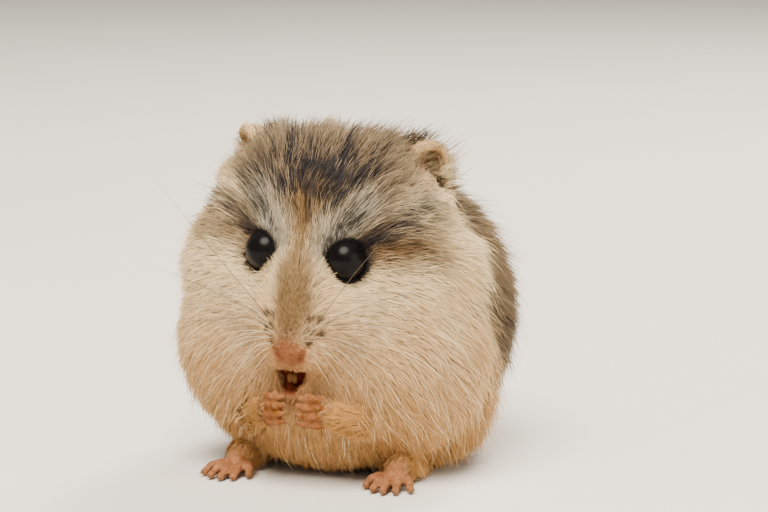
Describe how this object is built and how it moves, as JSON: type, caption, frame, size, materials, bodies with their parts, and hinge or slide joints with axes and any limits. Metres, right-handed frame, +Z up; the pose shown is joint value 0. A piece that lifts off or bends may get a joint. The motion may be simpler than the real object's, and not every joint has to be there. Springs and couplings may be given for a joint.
{
  "type": "roborovski dwarf hamster",
  "caption": "Life-size still model of a small sandy-brown and white hamster sitting hunched on its haunches, with its forepaws raised to its mouth.",
  "frame": {"origin": "middle of the animal's box, on the floor it sits on", "axes": "the animal faces -Y, +X is its left side and +Z is up"},
  "size_m": [0.037, 0.0433, 0.0399],
  "materials": {
    "coat": "soft fur",
    "paw_skin": "bare skin under short hair",
    "ear_skin": "thin skin under short hair",
    "enamel": "smooth enamel",
    "eye": "wet and glossy"
  },
  "bodies": {
    "root": {"head": "coat", "neck": "coat", "trunk": "coat", "tail": "coat", "foreleg_left": "paw_skin", "foreleg_right": "paw_skin", "hindleg_left": "coat", "hindleg_right": "coat", "ear_left": "ear_skin", "ear_right": "ear_skin", "eye_left": "eye", "eye_right": "eye", "upper_incisors": "enamel"}
  },
  "joints": []
}
